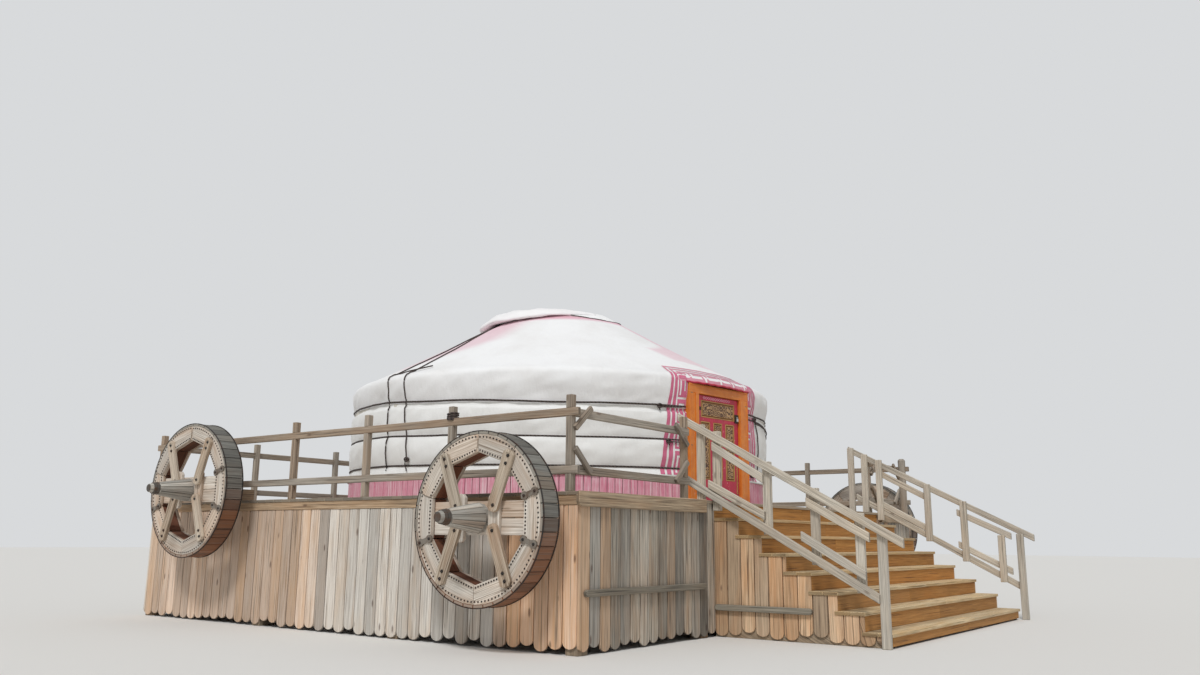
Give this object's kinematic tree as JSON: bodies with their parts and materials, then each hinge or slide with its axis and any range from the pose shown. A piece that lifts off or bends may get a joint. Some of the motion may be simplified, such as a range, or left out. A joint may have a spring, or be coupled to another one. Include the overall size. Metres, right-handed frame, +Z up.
{
  "type": "felt tent yurt on a timber cart-like platform",
  "caption": "Round felt yurt with a hinged door on a raised boarded timber platform with wide stair, railings and four big ornamental cart wheels.",
  "frame": {"origin": "on the ground at the middle of the whole outline", "axes": "+Z up, -Y to the front with the stair and the door, +X to the right as seen from the stair"},
  "size_m": [10.32, 9.136, 4.2565],
  "materials": {
    "wood_weathered": "grey weathered timber",
    "wood_deck": "worn deck boards",
    "wood_frame": "rough sawn timber",
    "wood_tan": "tan weathered boards",
    "wood_grey": "grey weathered boards",
    "wood_orange": "orange-brown painted boards",
    "wood_wheel": "pale planed planks",
    "wood_tread": "dark weathered staves",
    "wood_lining": "dark reddish boards",
    "canvas_white": "white cotton canvas",
    "canvas_roof": "white cotton canvas, faintly pink",
    "crown_canvas": "white folded canvas",
    "paint_pink": "pink painted boards, streaked",
    "paint_orange": "orange painted timber",
    "paint_crimson": "crimson painted timber",
    "rope_dark": "dark hair rope",
    "iron_dark": "dark iron",
    "iron_bright": "worn zinc",
    "wood_roof": "orange-red painted poles"
  },
  "bodies": {
    "yurt": {"axles": "wood_frame", "base_boards": "paint_pink", "battens": "wood_weathered", "crown_cover": "crown_canvas", "crown_posts": "wood_roof", "crown_ring": "wood_roof", "deck": "wood_deck", "deck_frame": "wood_frame", "door_jambs": "paint_orange", "door_lintel": "paint_orange", "door_pintles": "iron_dark", "front_fascias": "wood_tan", "girth_ropes": "rope_dark", "hub_rings": "iron_dark", "legs": "wood_frame", "rail_braces": "wood_weathered", "railing_posts": "wood_weathered", "railing_rails": "wood_weathered", "roof_cover_1": "canvas_roof", "roof_cover_2": "canvas_roof", "roof_cover_3": "canvas_roof", "roof_cover_4": "canvas_roof", "roof_cover_5": "canvas_roof", "roof_cover_6": "canvas_roof", "roof_poles": "wood_roof", "skirt_back": "wood_tan", "skirt_front": "wood_grey", "skirt_left": "wood_tan", "skirt_right": "wood_tan", "stair_carriages": "wood_frame", "stair_posts": "wood_weathered", "stair_rails": "wood_weathered", "stair_risers": "wood_orange", "stair_sides": "wood_tan", "stair_treads": "wood_weathered", "threshold": "paint_crimson", "wall_back_left": "canvas_white", "wall_back_right": "canvas_white", "wall_front_left": "canvas_white", "wall_front_right": "canvas_white", "wall_left": "canvas_white", "wall_right": "canvas_white", "wheel_bars": "wood_wheel", "wheel_felloes": "wood_wheel", "wheel_hub_planks": "wood_wheel", "wheel_hubs": "wood_weathered", "wheel_linings": "wood_lining", "wheel_links": "iron_dark", "wheel_spokes": "wood_wheel", "wheel_treads": "wood_tread"},
    "door": {"door_leaf": "paint_crimson", "door_hasp": "iron_bright", "door_straps": "iron_dark"}
  },
  "joints": [
    {"name": "door_hinge", "type": "hinge", "parent": "yurt", "child": "door", "pos_m": [-0.72675, -1.60434, 1.55], "axis": [0, 0, -1], "range_deg": [0, 105]}
  ]
}
